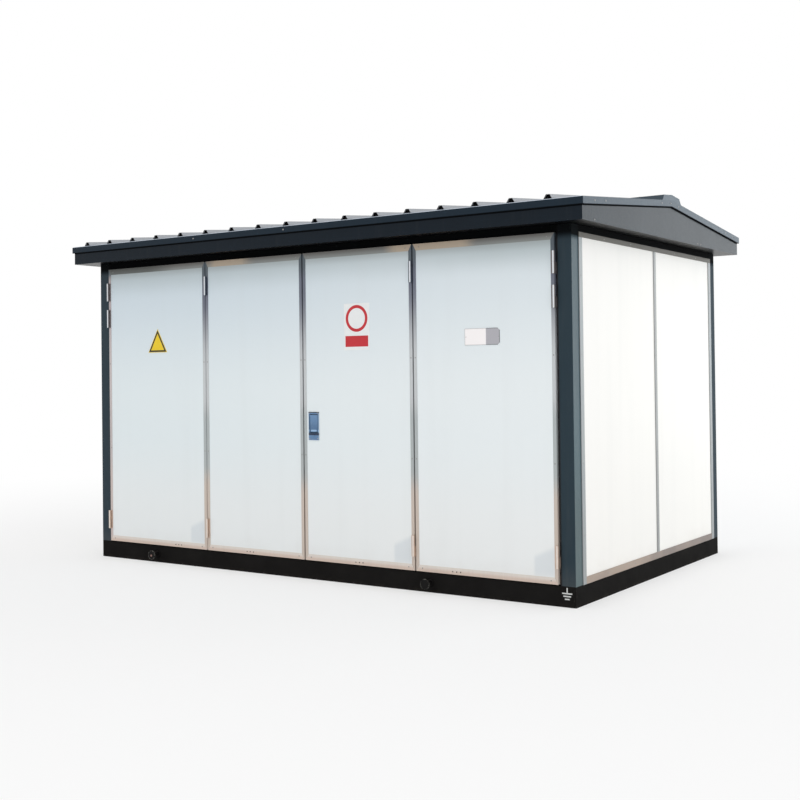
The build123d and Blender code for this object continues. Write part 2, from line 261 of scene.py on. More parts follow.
front_welds = [corner_weld(-corner_joint), corner_weld(corner_joint)]
add_piece("base_corner_welds", front_welds + half_turned(front_welds), base_finish, "root")


def blocks(low, high):
    """Upright blocks, one between each pair of corners."""
    pick = np.stack(np.meshgrid((0, 1), (0, 1), (0, 1), indexing="ij"), -1).reshape(8, 3)
    points = low[:, None] + pick * (high - low)[:, None]
    sides = np.array(((0, 1, 3, 2), (4, 5, 7, 6), (0, 1, 5, 4), (2, 3, 7, 6), (0, 2, 6, 4), (1, 3, 7, 5)))
    faces = np.arange(len(low))[:, None, None] * 8 + sides
    return points.reshape(-1, 3), [faces.reshape(-1, 4)]


# Stem and three bars of the earth mark: left, right, foot and head of each on the base's front
earth_bars = np.array((
    (1.8905, 1.8975, 0.0835, 0.112),
    (1.8620, 1.9260, 0.0755, 0.083),
    (1.8700, 1.9180, 0.0595, 0.067),
    (1.8790, 1.9090, 0.0435, 0.051)))
paint_film = 0.0006
mark_low = np.stack((earth_bars[:, 0], np.full(4, base_front - paint_film), earth_bars[:, 2]), 1)
mark_high = np.stack((earth_bars[:, 1], np.full(4, base_front + paint_film), earth_bars[:, 3]), 1)
mark_paint = Finish("mark_paint")
mark_wear = mark_paint.step(mark_paint.noise(260, 3), 0.55, 0.72)
mark_colour = mark_paint.mix(mark_wear * 0.6, (214, 216, 214), (90, 88, 84))
white_mark = mark_paint.surface(mark_colour, 0.6, mark_wear, 0.0002)
add_piece("earth_mark", [blocks(mark_low, mark_high)], white_mark, "root", 0.0003)


# Lifting stubs
# Round steel bars with a collar, welded to the channels' webs and painted with the base. The slings
# have rubbed the paint off the collars' rims, and off one end's middle.

stub_places = (-1.370, 0.970)
stub_level = 0.060
stub_radius = 0.020
collar_radius = 0.032
stub_finish = Finish("worn_stub_enamel")
stub_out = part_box("lifting_stubs")[1].y
midway = sum(stub_places) / 2
aside = abs(stub_finish.x - midway) - (stub_places[1] - midway)
from_axis = aside.across(stub_finish.z - stub_level)
on_end = stub_finish.step(abs(stub_finish.y), stub_out - 0.004, stub_out - 0.001)
rim = stub_finish.step(from_axis, collar_radius - 0.006, collar_radius - 0.001)
rim_wear = rim * stub_finish.step(stub_finish.noise(55, 4), 0.42, 0.62)
rusty_spot = (stub_finish.x - stub_places[0]).across(stub_finish.z - stub_level + 0.004)
rust_wear = on_end * stub_finish.step(rusty_spot + stub_finish.noise(120, 3) * 0.008, 0.015, 0.008)
stub_colour = stub_finish.mix(rim_wear * 0.55, (20, 19, 19), (128, 128, 122))
rust = stub_finish.mix(stub_finish.noise(150, 4), (150, 112, 104), (178, 150, 138))
stub_colour = stub_finish.mix(rust_wear * 0.8, stub_colour, rust)
worn_enamel = stub_finish.surface(
    stub_colour, 0.5 + rust_wear * 0.3, stub_finish.noise(200, 3), 0.001, Specular_IOR_Level=0.1)
dress(worn_enamel, "lifting_stubs")

fillet_width = 0.011
fillet_ripples = 24


def stub_weld(x):
    """The fillet round a stub: an oval carried round the bar, its size rippling along the weld."""
    turn = np.linspace(0, 2 * np.pi, fillet_ripples * 4, endpoint=False)
    outward = np.stack((np.cos(turn), np.zeros_like(turn), np.sin(turn)), 1)
    path = np.array((x, base_front, stub_level)) + stub_radius * outward
    ripple = (0.9 + 0.1 * np.cos(fillet_ripples * turn))[:, None, None]
    section = oval(fillet_width, fillet_width) * ripple
    return carried(path, outward, (0, -1, 0), section, loop=True)


def mirrored(shapes):
    """The same shapes on the rear, as a mirror along the housing's length would show them."""
    return [(points * (1, -1, 1), groups) for points, groups in shapes]


front_fillets = [stub_weld(x) for x in stub_places]
add_piece("stub_welds", front_fillets + mirrored(front_fillets), base_finish, "root")


# Floor plate
# Thin steel tread plate laid on the base. Its pattern is rolled in: short lozenges in pairs, turned by
# a right angle from one to the next.

tread = Finish("steel_tread_plate")
lozenge_pitch = 0.030
waves = [tread.x.maths("SINE", (tread.x + tread.y * way) * (math.tau / lozenge_pitch)) for way in (1, -1)]
lozenges = tread.step(waves[0] * waves[1] + tread.noise(40) * 0.1, 0.55, 0.8)
scuff = tread.step(tread.noise(6, 5), 0.45, 0.7)
tread_colour = tread.mix(scuff * 0.5, (118, 120, 122), (88, 86, 84))
tread_steel = tread.surface(tread_colour, 0.42 + scuff * 0.25, lozenges, 0.0025, Metallic=0.8)
dress(tread_steel, "floor_plate")


# Steel frame
# Corner posts, headers and the posts behind the leaves, folded from sheet and powder coated in
# anthracite before they are bolted to the base. Rain throws dust up the posts' feet.

def powder_coat(name, light, dark, streaked=0.05):
    """A satin coat with faint clouds and rain streaks, a fine grain, and dust that thins out upwards."""
    coat = Finish(name)
    cloud = coat.noise(2.2, 4)
    low = coat.step(coat.z + coat.noise(12, 3) * 0.14, 0.34, 0.13)
    streaks = coat.step(coat.noise(26, 3, (1, 1, 0.06)), 0.5, 0.8)
    colour = coat.mix(cloud, light, dark)
    colour = coat.mix(low * 0.14 + streaks * streaked, colour, (128, 122, 114))
    grain = coat.noise(420, 2) * 0.5 + coat.noise(22, 2)
    return coat, colour, 0.30 + low * 0.2 + cloud * 0.06, grain


# The corner posts' end faces and their edges beside the leaves, from the housing's middle
post_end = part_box("corner_posts")[1].x
post_edge = post_end - 0.095


def post_coat():
    """The coat of the posts. Painted shade makes it near black above the leaves, under the eave, with a
    sharp line on the end faces. The end faces are painted lighter as painted light, most at their feet,
    except on two corners, which are rougher. A line of painted shade darkens the edges beside the leaves."""
    coat, colour, roughness, grain = powder_coat("anthracite_frame", (46, 61, 70), (38, 53, 62))
    end_face = coat.step(abs(coat.x), post_end - 0.0015, post_end - 0.0005)
    # Painted light on the end faces, strongest at their feet, left off two corners' faces, which are
    # rougher
    end_face_light = end_face * (coat.step(coat.z, 1.5, 0.1) * 0.7 + 0.3)
    dull = end_face * coat.step(coat.x * coat.y, -0.5, 0.5)
    # Painted shade under the eave, near black
    eave_shade = coat.step(coat.z, 2.095, 2.150).most(end_face * coat.step(coat.z, 2.124, 2.130))
    # A line of painted shade beside the leaves
    beside_leaf = coat.step(abs(coat.x), post_edge + 0.010, post_edge + 0.006)
    beside_leaf = beside_leaf * coat.step(abs(coat.y), 1.15, 1.18)
    end_light_colour = coat.mix(coat.step(coat.z, 0.4, 1.1), (96, 113, 115), (92, 124, 132))
    colour = coat.mix(end_face_light * (1 - dull) * 0.75, colour, end_light_colour)
    colour = coat.mix(beside_leaf * 0.75, colour, (30, 20, 20))
    colour = coat.mix(eave_shade * 0.96, colour, (6, 7, 8))
    roughness = (roughness + dull * 0.35 + eave_shade * 0.7).least(1.0)
    return coat.surface(colour, roughness, grain, 0.0006, Specular_IOR_Level=0.12)


dress(post_coat(), "corner_posts", "door_posts", "roof_trusses")


def clouded(name, light, dark, cloud, roughness, depth, grain=None, rougher=0.0, **sockets):
    """A finish clouded from one colour to another. Cloud gives the scale, detail and stretch of its noise,
    and grain those of its relief, which otherwise follows the clouds."""
    finish = Finish(name)
    clouds = finish.noise(*cloud)
    relief = finish.noise(*grain) if grain else clouds
    if rougher:
        roughness = roughness + clouds * rougher
    return finish.surface(finish.mix(clouds, light, dark), roughness, relief, depth, **sockets)


# The headers' coat is matt and near black as painted shade under the eave
header_shade_coat = clouded(
    "painted_shade_header_coat", (6, 8, 9), (13, 14, 15), (9, 4, (0.3, 1, 1)), 0.7, 0.0005, (420, 2), 0.1,
    Specular_IOR_Level=0.02)
dress(header_shade_coat, "door_headers", "end_headers")


# End walls
# Two sandwich panels a side: white coated steel skins on a foam core, standing between the posts. The
# joint, the edges and the corners are covered by folded aluminium strips, riveted on.

# The film corners' right edges, with their width, the level of their upper edge there and its slant
film_edges = (-0.901, 0.841, 1.822)
film_width = 0.128
film_head = 0.335
film_slant = 0.45


def white_skin():
    """White sheet, a little wavy, with faint rain streaks and dust at its foot. The leaves are painted
    cooler than the end walls, as painted shade and sky reflection. Painted shade greys them up to the eave
    and to the left, painted light from the ground lifts their lower half, and on three of them protective
    film has left a soft grey corner at the foot."""
    skin = Finish("white_panel_skin")
    cloud = skin.noise(0.9, 3)
    streaks = skin.step(skin.noise(9, 4, (1, 1, 0.05)), 0.45, 0.8)
    foot = skin.step(skin.z + skin.noise(7, 4) * 0.22, 0.38, 0.15)
    front = skin.step(abs(skin.y), 1.15, 1.19)
    leftward = skin.step(skin.x, 1.9, -1.9)
    # Painted shade and reflection on the leaves: greyer and bluer to the left, lighter and more neutral low
    # down as painted light from the ground, and bluish grey upwards
    leaf = skin.mix(leftward, (240, 246, 248), (231, 240, 243))
    leaf = skin.mix(skin.step(skin.z, 1.0, 0.3) * 0.45, leaf, (246, 244, 242))
    leaf = skin.mix(skin.step(skin.z, 1.15, 2.02) * (leftward * 0.5 + 0.5), leaf, (214, 226, 234))
    # Painted shadow of the eave over the leaves' heads, darkest just under the eave
    under_eave = skin.step(skin.z + skin.noise(3, 3) * 0.06, 1.93, 2.13)
    rightmost = skin.step(skin.x, 0.8, 1.5)
    leaf = skin.mix(under_eave * (leftward * 0.15 + rightmost * 0.3 + 0.5), leaf, (188, 200, 203))
    leaf = skin.mix(skin.step(skin.z, 2.05, 2.11) * 0.45, leaf, (160, 166, 166))
    colour = skin.mix(cloud, (243, 241, 237), (239, 238, 235))
    # The leaves take a cooler tone than the end walls, which is painted shade and sky reflection
    colour = skin.mix(front, colour, leaf)
    colour = skin.mix(streaks * 0.06, colour, (206, 209, 208))
    colour = skin.mix(foot * 0.16, colour, (206, 198, 188))
    film = 0.0
    for edge in film_edges:
        along = edge - skin.x
        near_edge = skin.patch(along, 0.0, film_width, 0.012)
        slanted = skin.z + along * film_slant
        below_slant = skin.step(slanted, film_head + 0.022, film_head - 0.022)
        film = near_edge * skin.step(skin.z, 0.13, 0.20) * below_slant + film
    colour = skin.mix(film * front * 0.35, colour, (196, 207, 216))
    wave = skin.noise(1.6, 2) + skin.noise(14, 2) * 0.05
    return skin.surface(colour, 0.36 + foot * 0.2 + streaks * 0.08, wave, 0.004, Specular_IOR_Level=0.06)


white_sheet = white_skin()
dress(white_sheet, "left_wall_panels", "right_wall_panels", "ceiling_panel")

wall_trim = Finish("end_wall_trim")
trim_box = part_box("end_wall_trims")
wall_foot = trim_box[0].z
wall_head = trim_box[1].z
wall_reach = trim_box[1].y
wall_side_face = 0.043
side_strip = wall_reach - wall_side_face
joint_y = 0.040
at_head = wall_trim.step(wall_trim.z, wall_head - 0.034, wall_head - 0.028)
between_sides = wall_trim.step(abs(wall_trim.y), side_strip, side_strip - 0.001)
at_foot = wall_trim.step(wall_trim.z, wall_foot + 0.044, wall_foot + 0.040) * between_sides
brushed = wall_trim.noise(60, 3, (1, 0.05, 0.05))
# The warm foot strip is a painted reflection of the ground, mottled
foot_mottle = wall_trim.step(wall_trim.noise(1.4, 3), 0.42, 0.62)
foot_tint = wall_trim.mix(foot_mottle, (132, 120, 114), (168, 150, 136))
wall_trim_colour = wall_trim.mix(brushed, (142, 148, 152), (162, 164, 163))
# Painted shade on the head strip under the eave
wall_trim_colour = wall_trim.mix(at_head * 0.95, wall_trim_colour, (84, 80, 72))
on_joint = wall_trim.step(abs(wall_trim.y - joint_y), 0.020, 0.0185) * (1 - at_foot) * (1 - at_head)
wall_trim_colour = wall_trim.mix(on_joint, wall_trim_colour, (150, 152, 152))
wall_trim_colour = wall_trim.mix(at_foot * 0.9, wall_trim_colour, foot_tint)
wall_strip = wall_trim.surface(
    wall_trim_colour, 0.45 + brushed * 0.1, brushed, 0.0004, Metallic=0.35, Specular_IOR_Level=0.2)
dress(wall_strip, "end_wall_trims")


def studs(centres, outward, profile, sides=14):
    """Round fixings. The profile's radius turns about the outward direction, its height runs along it,
    and it starts and ends on the axis. Six sides make a hexagon head."""
    outward = np.asarray(outward, float)
    outward = outward / np.linalg.norm(outward)
    helper = (0, 0, 1) if abs(outward[2]) < 0.9 else (1, 0, 0)
    side = np.cross(helper, outward)
    side = side / np.linalg.norm(side)
    turn = np.linspace(0, 2 * np.pi, sides, endpoint=False)[:, None]
    circle = np.cos(turn) * side + np.sin(turn) * np.cross(outward, side)
    radius, height = np.asarray(profile, float).T
    one = radius[:, None, None] * circle + height[:, None, None] * outward
    centres = np.atleast_2d(centres)
    points = centres[:, None, None] + one
    faces = np.arange(len(centres))[:, None, None] * one.shape[0] * sides + grid(len(radius), sides)
    return points.reshape(-1, 3), [faces.reshape(-1, 4)]


# Radius and height of each turn of the rivet, from the top of its dome down into the sheet
rivet_profile = (
    (0, 0.0018), (0.0016, 0.0017), (0.0031, 0.0012), (0.0038, 0.0005), (0.0040, 0), (0, -0.0006))
rivet_steel = clouded(
    "rivet_metal", (176, 176, 176), (120, 118, 116), (300, 3), 0.4, 0.0003, rougher=0.2, Metallic=0.8)

wall_face = trim_box[1].x
rivet_rows = np.array((0.40, 0.818, 1.442, 1.90))
end_rows = (wall_foot + 0.020, wall_head - 0.0145)
side_reach = wall_reach - wall_side_face / 2
wall_rivets = [(wall_face, y, z) for y in (-side_reach, joint_y, side_reach) for z in rivet_rows]
wall_rivets += [(wall_face, y, z) for y in (-0.75, -0.35, 0.40, 0.80) for z in end_rows]
wall_rivets = np.array(wall_rivets)
right_rivets = studs(wall_rivets, (1, 0, 0), rivet_profile)
left_rivets = studs(wall_rivets * (-1, 1, 1), (-1, 0, 0), rivet_profile)
add_piece("end_wall_rivets", [right_rivets, left_rivets], rivet_steel, "root")

# A bead of sealant along the foot of each end wall, between the strip and the base
sealant_grey = clouded("grey_sealant", (150, 150, 148), (184, 184, 180), (50, 3), 0.6, 0.0005)
sealant_section = oval(0.007, 0.006)
sealant_reach = np.linspace(-wall_reach, wall_reach, 80)
lumps = (0.85 + 0.15 * np.sin(sealant_reach * 37) * np.sin(sealant_reach * 11))[:, None, None]
sealant_beads = []
for side in (-1, 1):
    beside_wall = np.full_like(sealant_reach, side * (wall_face - 0.0045))
    run = np.stack((beside_wall, sealant_reach, np.full_like(sealant_reach, wall_foot + 0.0005)), 1)
    sealant_beads.append(carried(run, (side, 0, 0), (0, 0, 1), sealant_section * lumps))
add_piece("wall_foot_sealant", sealant_beads, sealant_grey, "root")


# Door leaves
# Four leaves a side. Each is a sandwich panel in a frame of folded aluminium, mitred at the corners
# and riveted, with a rubber seal on its back. The rear repeats the front.

panel_nodes = [f"door_{number}_panel" for number in (1, 2, 3, 4)]
trim_nodes = [f"door_{number}_trim" for number in (1, 2, 3, 4)]
dress(white_sheet, "rear_leaf_panels", *panel_nodes)

leaf_boxes = [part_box(name) for name in trim_nodes]
leaf_foot = leaf_boxes[0][0].z
leaf_head = leaf_boxes[0][1].z
leaf_face = leaf_boxes[0][0].y
leaf_back = leaf_boxes[0][1].y
leaf_side = leaf_boxes[3][1].x
half_gap = leaf_boxes[2][0].x
inner_seam = leaf_boxes[3][0].x - half_gap
side_face = 0.022
end_face = 0.040


def leaf_aluminium():
    """Matt aluminium, anodised. The uprights darken to blue grey at their heads with painted shade and
    reflection, are greyer at hand height, and warm at their feet with a painted reflection of the ground.
    The foot strips are warm with a paler upper edge, a painted reflection and highlight; the head strips
    are grey, with painted shade along their top and over the first leaf and pools of painted light in
    places; and a fine line marks each mitre."""
    metal = Finish("leaf_edge_aluminium")
    across = abs(metal.x)
    to_seam = (abs(across - inner_seam) - half_gap).least(across - half_gap)
    to_side = to_seam.least(leaf_side - across)
    to_end = (metal.z - leaf_foot).least(leaf_head - metal.z)
    lead = to_end * (side_face / end_face) - to_side
    upright = metal.step(lead, -0.0004, 0.0004)
    over_sides = metal.step(to_side, side_face + 0.001, side_face - 0.001)
    mitre = metal.patch(lead, -0.0009, 0.0009, 0.0005) * over_sides
    rise = metal.z + metal.noise(3, 3, (1, 1, 0.4)) * 0.2 - 0.1
    drawn = metal.noise(90, 3, (1, 1, 0.02))
    rolled = metal.noise(70, 3, (0.03, 1, 1))
    # Warm towards the feet: a painted reflection of the ground
    upright_colour = metal.mix(metal.step(rise, 0.45, 1.25), (208, 194, 182), (204, 208, 210))
    hand_height = metal.patch(rise, 0.66, 1.12, 0.08)
    upright_colour = metal.mix(hand_height * 0.9, upright_colour, (178, 186, 187))
    # Painted shade and reflection darken the uprights towards their heads
    upright_colour = metal.mix(metal.step(rise, 1.40, 1.92), upright_colour, (108, 113, 128))
    upright_colour = metal.mix(metal.step(metal.z, 1.95, 2.08), upright_colour, (82, 94, 102))
    post_side = metal.step(metal.x, -1.80, -1.82) * metal.step(metal.z, 2.12, 2.06)
    upright_colour = metal.mix(post_side * 0.7, upright_colour, (206, 190, 188))
    # Painted reflection of the ground on the foot strips, with a painted highlight along their upper edge
    up_foot = metal.step(metal.z, leaf_foot + 0.010, leaf_foot + 0.034)
    foot_colour = metal.mix(up_foot, (218, 198, 184), (230, 222, 214))
    # Painted shade along the head strips' top and over the first leaf, and pools of painted light
    down_head = metal.step(metal.z, leaf_head, leaf_head - end_face)
    head_colour = metal.mix(down_head, (104, 102, 98), (142, 146, 144))
    head_colour = metal.mix(metal.step(metal.x, -1.10, -1.45) * 0.62, head_colour, (50, 58, 52))
    lit = metal.patch(metal.x + metal.noise(9, 3) * 0.1, -0.77, -0.43, 0.07)
    lit = lit.most(metal.patch(metal.x + metal.noise(9, 3) * 0.1, 0.75, 1.33, 0.07))
    head_colour = metal.mix(lit * 0.75, head_colour, (198, 178, 154))
    end_colour = metal.mix(metal.step(metal.z, 1.0, 1.2), foot_colour, head_colour)
    colour = metal.mix(upright, end_colour, upright_colour)
    colour = metal.mix(drawn * 0.15, colour, (130, 128, 130))
    colour = metal.mix(mitre * 0.5, colour, (96, 90, 86))
    lines = upright * drawn + (1 - upright) * rolled - mitre
    return metal.surface(colour, 0.40 + drawn * 0.1, lines, 0.0003, Metallic=0.25)


leaf_edge = leaf_aluminium()
dress(leaf_edge, "rear_leaf_trims", *trim_nodes)

# How far the rivets at the corners stand from the leaf's sides
corner_rivet = 0.046


def leaf_rivets(low, high):
    """The rivets of one leaf's edging: up both uprights, and beside the corners at head and foot."""
    sides = (low.x + side_face / 2, high.x - side_face / 2)
    ends = (leaf_foot + end_face / 2, leaf_head - end_face / 2)
    spots = [(x, leaf_face, z) for x in sides for z in rivet_rows[1:3]]
    spots += [(x, leaf_face, z) for x in (low.x + corner_rivet, high.x - corner_rivet) for z in ends]
    return studs(spots, (0, -1, 0), rivet_profile)


# The middle one of the three drain plugs in each leaf's foot strip
drain_middles = (-1.150, -0.477, 0.442, 1.167)
drain_pitch = 0.028
drain_rise = 0.0165
drain_profile = (
    (0, 0.0003), (0.0016, 0.0004), (0.0022, 0.0012), (0.0032, 0.0012), (0.0040, 0), (0, -0.0005))


def drain_plugs(middle):
    """Three small grommets in the foot of a leaf's edging: a raised ring round a shallow dimple."""
    spots = [(middle + step * drain_pitch, leaf_face, leaf_foot + drain_rise) for step in (-1, 0, 1)]
    return studs(spots, (0, -1, 0), drain_profile, 18)


black_rubber = clouded("black_rubber", (22, 22, 23), (44, 44, 44), (35, 4), 0.68, 0.0003, (400, 2))


def framed(x, z, y, upward, section):
    """A section carried round an upright frame, given by the x of its sides, the z of its foot and head,
    and its y. The corners are mitred: there, across is one step along x and one along z."""
    corners = np.array([(x[0], 0, z[0]), (x[1], 0, z[0]), (x[1], 0, z[1]), (x[0], 0, z[1])])
    outward = np.sign(corners - corners.mean(0))
    corners[:, 1] = y
    return carried(corners, outward, upward, section, loop=True)


seal_inset = 0.014
seal_width = 0.010
seal_height = 0.0036
seal_out = 0.0012


def back_seal(low, high):
    """A bulb seal carried round the leaf's back."""
    x = (low.x + seal_inset, high.x - seal_inset)
    z = (low.z + seal_inset, high.z - seal_inset)
    return framed(x, z, leaf_back + seal_out, (0, 1, 0), oval(seal_width, seal_height, 12))


# How far the edge bead stands out of the edge, its depth, how far it is set back from the leaf's face,
# and how far it stops short of the head and foot
bead_proud = 0.004
bead_depth = 0.014
bead_set_back = 0.0012
bead_short = 0.003


def edge_bead(x):
    """A rounded cover strip up a leaf's free edge: a flat oval carried from its foot to its head."""
    middle_y = leaf_face + bead_depth / 2 + bead_set_back
    path = [(x, middle_y, z) for z in (leaf_foot + bead_short, leaf_head - bead_short)]
    return carried(path, (1, 0, 0), (0, 1, 0), oval(2 * bead_proud, bead_depth, 16))


# Leaf 2 has none, because it closes against the bead on leaf 3
free_edges = {1: leaf_boxes[0][1].x, 3: leaf_boxes[2][0].x, 4: leaf_boxes[3][0].x}
for number, edge in free_edges.items():
    add_piece(f"door_{number}_edge_bead", [edge_bead(edge)], leaf_edge, f"door_{number}")
rear_edge_beads = half_turned([edge_bead(edge) for edge in free_edges.values()])
add_piece("rear_edge_beads", rear_edge_beads, leaf_edge, "root")

for number, (low, high) in enumerate(leaf_boxes, start=1):
    body = f"door_{number}"
    add_piece(f"{body}_rivets", [leaf_rivets(low, high)], rivet_steel, body)
    drains = drain_plugs(drain_middles[number - 1])
    add_piece(f"{body}_drain_plugs", [drains], black_rubber, body)
    add_piece(f"{body}_seal", [back_seal(low, high)], black_rubber, body)
rear_rivets = half_turned([leaf_rivets(*corners) for corners in leaf_boxes])
add_piece("rear_leaf_rivets", rear_rivets, rivet_steel, "root")
rear_drains = half_turned([drain_plugs(middle) for middle in drain_middles])
add_piece("rear_drain_plugs", rear_drains, black_rubber, "root")
rear_seals = half_turned([back_seal(*corners) for corners in leaf_boxes])
add_piece("rear_leaf_seals", rear_seals, black_rubber, "root")


# Hinges
# Plated steel lift-off barrels. The upper half of each is welded to a plate screwed on the leaf, the
# lower half to a web on the frame, and both barrels end in a domed cap.

# How far the barrels' fronts stand from the housing's middle
barrel_nose = 1.2195


def hinge_plating():
    """Zinc plating with a painted highlight along the barrels' fronts and painted shade on their flanks.
    Both are brownish near the ground and blue grey under the eave, as painted reflections."""
    metal = Finish("plated_hinge_steel")
    # Painted highlight along the barrels' fronts, and painted shade on their flanks
    barrel_highlight = metal.step(abs(metal.y), barrel_nose - 0.0026, barrel_nose - 0.0008)
    rise = metal.step(metal.z, 0.5, 1.7)
    clouds = metal.noise(28, 3)
    near_post = metal.step(abs(metal.x), 1.4, 1.6)
    upper_flank_shade = metal.mix(near_post * 0.7, (80, 90, 106), (132, 122, 118))
    flank_shade = metal.mix(rise, (212, 188, 170), upper_flank_shade)
    highlight_colour = metal.mix(rise, (240, 228, 218), (236, 240, 244))
    colour = metal.mix(barrel_highlight, flank_shade, highlight_colour)
    colour = metal.mix(clouds * 0.2, colour, (120, 116, 118))
    return metal.surface(colour, 0.26 + clouds * 0.15, clouds, 0.0002, Metallic=0.5)


hinge_steel = hinge_plating()
hinge_nodes = [f"door_{number}_hinges" for number in (1, 2, 3, 4)]
dress(hinge_steel, "front_frame_hinges", "rear_frame_hinges", "rear_leaf_hinges", *hinge_nodes)

barrel_axis = -1.2115
barrel_half = 0.065
plate_middle = 0.014
plate_screw_pitch = 0.045
hinge_plate_face = leaf_face - 0.003
post_heights = (1.975, 1.778, 0.285)
seam_heights = (1.975, 0.280)
# Each leaf's hinge line: its place, the way to the leaf, and the barrels' levels
hinge_lines = (
    (-1.847, 1, post_heights),
    (-0.863, 1, seam_heights),
    (0.863, -1, seam_heights),
    (1.847, -1, post_heights))
barrel_cap_profile = (
    (0, 0.0034), (0.0028, 0.0031), (0.0054, 0.0020), (0.0072, 0.0004), (0.0072, -0.0006), (0, -0.0006))
# A countersunk screw with a dimple for its recess
screw_profile = (
    (0, 0.0003), (0.0012, 0.0004), (0.0017, 0.0010), (0.0030, 0.0008), (0.0034, 0.0001), (0, -0.0004))


def barrel_caps(axis_x, heights, end):
    """Domes on the barrels of one hinge line, at their upper ends where end is 1 and lower where -1."""
    spots = [(axis_x, barrel_axis, z + end * barrel_half) for z in heights]
    return studs(spots, (0, 0, end), barrel_cap_profile, 20)


def plate_screws(axis_x, side, heights):
    """Three screws up the plate of each leaf half."""
    spots = [(axis_x + side * plate_middle, hinge_plate_face, z + step)
             for z in heights for step in (-plate_screw_pitch, 0, plate_screw_pitch)]
    return studs(spots, (0, -1, 0), screw_profile, 16)


frame_caps = []
leaf_fixings = []
for number, (axis_x, side, heights) in enumerate(hinge_lines, start=1):
    own = [barrel_caps(axis_x, heights, 1), plate_screws(axis_x, side, heights)]
    add_piece(f"door_{number}_hinge_fixings", own, hinge_steel, f"door_{number}")
    leaf_fixings += own
    frame_caps.append(barrel_caps(axis_x, heights, -1))
add_piece("frame_hinge_caps", frame_caps + half_turned(frame_caps), hinge_steel, "root")
add_piece("rear_hinge_fixings", half_turned(leaf_fixings), hinge_steel, "root")


# Flush lock
# A die-cast housing let into the third leaf and enamelled blue, with a paddle that swings up on a pin
# and a key cover under it. A rolled bezel trims the pocket, and the paddle's foot has a finger bar.

lock_low, lock_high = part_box("lock_housing")
paddle_low, paddle_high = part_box("lock_paddle")
lock_rim = 0.006
lock_head_rim = 0.014
key_section = 0.046
pocket_foot = lock_low.z + key_section
pocket_head = lock_high.z - lock_head_rim
lock_middle = (lock_low.x + lock_high.x) / 2
pocket_half = (lock_high.x - lock_low.x) / 2 - lock_rim
sill_foot = pocket_foot - 0.014
bar_foot = paddle_low.z + 0.004
bar_head = bar_foot + 0.013


def blue_enamel():
    """Blue enamel that darkens down the paddle. It is paler on the rim and the finger bar, and painted
    shade darkens the pocket, the line along its sill and the housing's head."""
    blue = Finish("blue_lock_enamel")
    cloud = blue.noise(40, 3)
    inside = blue.step(blue.y, leaf_face + 0.006, leaf_face + 0.012)
    bar = blue.patch(blue.z, bar_foot, bar_head, 0.0008) * blue.step(blue.y, leaf_face, leaf_face - 0.0008)
    rim = blue.step(abs(blue.x - lock_middle), pocket_half, pocket_half + 0.0015)
    sill = blue.patch(blue.z, sill_foot, pocket_foot - 0.001, 0.001)
    brow = blue.step(blue.z, lock_high.z - 0.008, lock_high.z - 0.006)
    rise = blue.step(blue.z, pocket_foot, pocket_head)
    colour = blue.mix(rise, (68, 104, 142), (108, 146, 186))
    colour = blue.mix(blue.step(blue.z, sill_foot, sill_foot - 0.002), colour, (94, 130, 170))
    colour = blue.mix(cloud * 0.4, colour, (92, 126, 166))
    colour = blue.mix(rim * 0.6, colour, (154, 178, 200))
    # Painted shade along the housing's head, the pocket's sill and inside the pocket
    colour = blue.mix(brow * 0.9, colour, (30, 46, 58))
    colour = blue.mix(sill * 0.95, colour, (10, 30, 62))
    colour = blue.mix(bar * 0.85, colour, (160, 196, 232))
    colour = blue.mix(inside * 0.9, colour, (10, 26, 42))
    worn = blue.step(blue.noise(210, 3), 0.6, 0.72)
    colour = blue.mix(worn * 0.25, colour, (190, 196, 204))
    return blue.surface(colour, 0.34 + cloud * 0.12, cloud + worn * 0.3, 0.0003)


lock_blue = blue_enamel()
dress(lock_blue, "lock_housing", "lock_paddle")

bezel_radius = 0.0012
bezel_half = pocket_half + bezel_radius
bezel_sides = (lock_middle - bezel_half, lock_middle + bezel_half)
bezel_ends = (pocket_foot - bezel_radius, pocket_head + bezel_radius)
bezel_section = oval(2 * bezel_radius, 2 * bezel_radius, 12)
bezel = framed(bezel_sides, bezel_ends, lock_low.y, (0, -1, 0), bezel_section)
key_spot = (lock_middle, lock_low.y, lock_low.z + key_section / 2)
cover_profile = (
    (0, 0.0034), (0.0060, 0.0032), (0.0092, 0.0022), (0.0104, 0.0006), (0.0104, -0.0006), (0, -0.0006))
cover_pin = ((0, 0.0056), (0.0014, 0.0052), (0.0021, 0.0040), (0.0021, 0.0026), (0, 0.0026))
key_cover = studs([key_spot], (0, -1, 0), cover_profile, 28)
key_pin = studs([key_spot], (0, -1, 0), cover_pin, 14)
add_piece("lock_bezel", [bezel], lock_blue, "door_3")
add_piece("lock_key_cover", [key_cover, key_pin], lock_blue, "door_3")
lock_screw_columns = (lock_low.x + 0.010, lock_high.x - 0.010)
lock_screw_rows = (lock_low.z + 0.009, lock_high.z - 0.007)
lock_screws = [(x, lock_low.y, z) for x in lock_screw_columns for z in lock_screw_rows]
lock_screws = studs(lock_screws, (0, -1, 0), screw_profile, 16)
add_piece("lock_screws", [lock_screws], hinge_steel, "door_3")
grip_margin = 0.0105
grip_depth = 0.0036
grip_middle = (lock_middle, paddle_low.y, (bar_foot + bar_head) / 2)
grip_half = (paddle_high.x - paddle_low.x) / 2 - grip_margin
grip_run = np.linspace(-1, 1, 24)[:, None]
grip_taper = np.clip(1 - np.abs(grip_run) ** 10, 0.15, 1)[:, :, None]
grip_section = oval(bar_head - bar_foot, grip_depth, 14) * grip_taper
finger_bar = carried(grip_middle + grip_run * (grip_half, 0, 0), (0, 0, 1), (0, -1, 0), grip_section)
add_piece("lock_finger_bar", [finger_bar], lock_blue, "lock_paddle")


